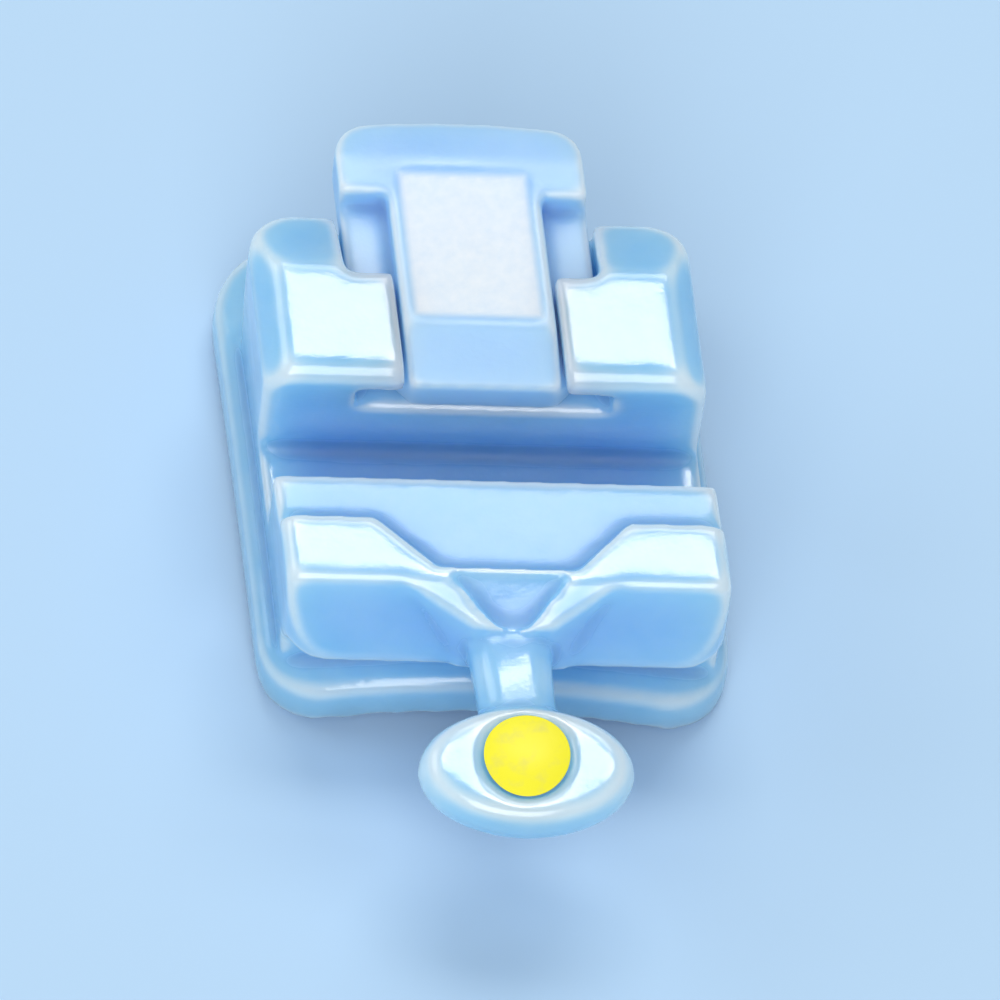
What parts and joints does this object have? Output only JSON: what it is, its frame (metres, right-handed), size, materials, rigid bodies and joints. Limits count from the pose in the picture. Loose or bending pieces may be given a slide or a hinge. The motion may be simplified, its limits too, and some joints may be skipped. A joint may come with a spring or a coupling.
{
  "type": "orthodontic bracket",
  "caption": "Ceramic self-ligating bracket for a lower left canine: curved bonding pad, archwire slot, gum-side hook with a colour mark, and a door that slides up the crown.",
  "frame": {"origin": "in the plane of the bonding pad's rim, right behind the middle of the archwire slot", "axes": "+X along the archwire slot towards distal, +Y up the crown to its biting edge, +Z outward from the tooth; the hook is at -Y and mesial at -X"},
  "size_m": [0.0037, 0.0051, 0.0025],
  "materials": {
    "ceramic": "gloss",
    "door_ceramic": "satin",
    "spring_metal": "satin",
    "yellow_mark": "gloss"
  },
  "bodies": {
    "bracket": {"bracket_body": "ceramic", "spring_pin": "spring_metal", "id_dot": "yellow_mark"},
    "door": {"slide_door": "door_ceramic"}
  },
  "joints": [
    {"name": "door_slide", "type": "slide", "parent": "bracket", "child": "door", "axis": [0.1219, -0.9871, -0.1037], "range_m": [0, 0.00056]}
  ]
}
